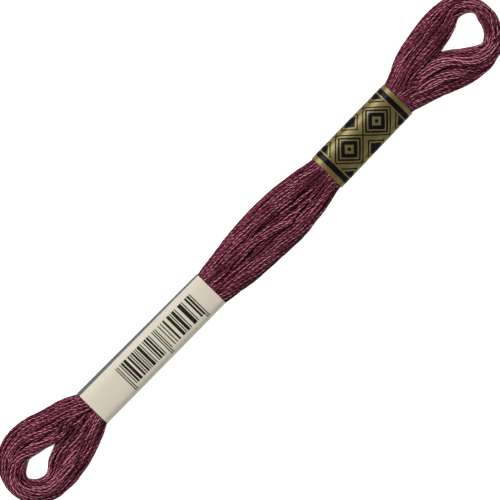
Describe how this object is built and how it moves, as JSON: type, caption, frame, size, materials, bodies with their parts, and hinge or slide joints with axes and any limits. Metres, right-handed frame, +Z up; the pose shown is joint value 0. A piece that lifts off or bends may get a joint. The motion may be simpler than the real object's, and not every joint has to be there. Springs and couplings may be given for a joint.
{
  "type": "skein of embroidery floss",
  "caption": "Skein of stranded embroidery floss in mulberry red, wound into a long flat hank with an open eye at each end and held by a paper label and a gilt band.",
  "frame": {"origin": "centre of the footprint, on the surface that the skein lies on", "axes": "+X along the skein from the label to the gilt band, +Y across it, +Z up through its thickness"},
  "size_m": [0.1641, 0.0218, 0.006],
  "materials": {
    "cotton_floss": "mercerised cotton floss, mulberry red, with a soft sheen along the strands",
    "cream_paper": "smooth uncoated cream paper, printed with plain black bars",
    "gilt_paper": "gold and black printed paper under clear glossy film"
  },
  "bodies": {
    "root": {"floss_hank": "cotton_floss", "paper_label": "cream_paper", "gilt_band": "gilt_paper"}
  },
  "joints": []
}
